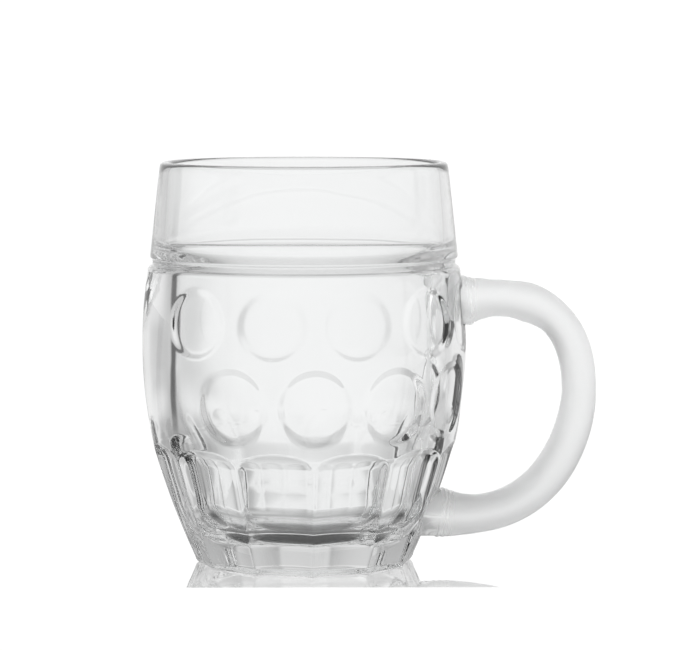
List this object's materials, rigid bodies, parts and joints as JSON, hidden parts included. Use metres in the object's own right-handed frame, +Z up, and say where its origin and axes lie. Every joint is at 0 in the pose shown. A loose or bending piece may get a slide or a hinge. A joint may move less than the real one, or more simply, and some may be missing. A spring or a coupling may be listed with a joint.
{
  "type": "dimpled beer mug",
  "caption": "Thick clear glass beer mug with round dimples, a fluted lower part, a plain flared neck band and a solid glass handle fused to its side.",
  "frame": {"origin": "on the mug's axis, at the plane of the foot ring that it stands on", "axes": "+Z up along the mug's axis; +X towards the handle; the dimpled side faces -Y"},
  "size_m": [0.1457, 0.1034, 0.128],
  "materials": {
    "body_glass": "clear fire-polished soda-lime glass",
    "handle_glass": "clear glass rod, softer and slightly greyer than the body"
  },
  "bodies": {
    "root": {"glass_body": "body_glass", "handle": "handle_glass"}
  },
  "joints": []
}
